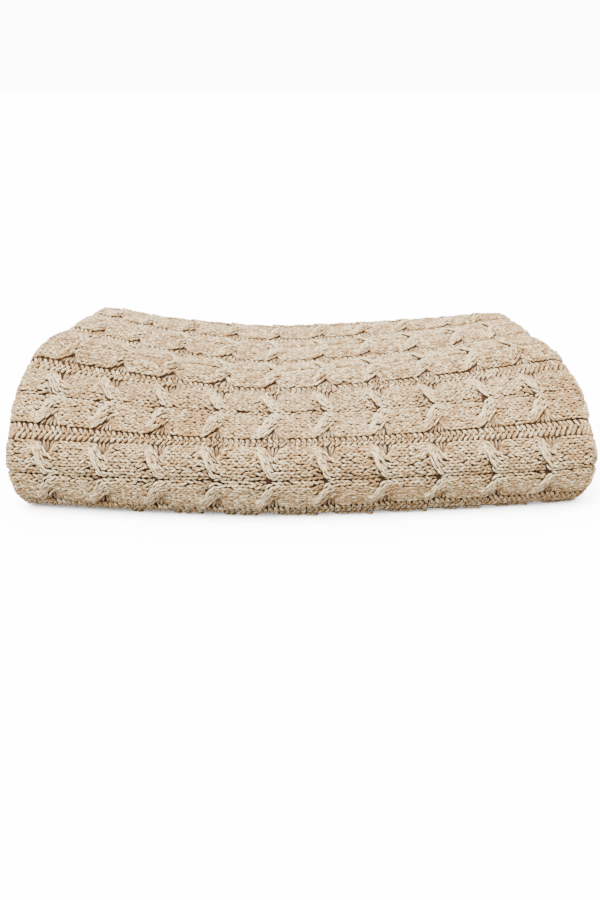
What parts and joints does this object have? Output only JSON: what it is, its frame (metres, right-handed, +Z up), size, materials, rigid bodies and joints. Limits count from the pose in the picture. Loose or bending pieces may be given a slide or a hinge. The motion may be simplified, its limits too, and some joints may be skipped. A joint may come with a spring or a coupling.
{
  "type": "folded throw blanket",
  "caption": "Cable knit throw blanket, folded into a neat stack with a soft rounded front fold and puffed ends, lying flat.",
  "frame": {"origin": "centre of the footprint on the surface that the folded stack lies on", "axes": "+Z up, +X along the cables to the right as seen from the front fold, -Y towards the front fold"},
  "size_m": [0.508, 0.3128, 0.1207],
  "materials": {
    "yarn": "matte marled beige cotton yarn"
  },
  "bodies": {
    "root": {"throw": "yarn"}
  },
  "joints": []
}
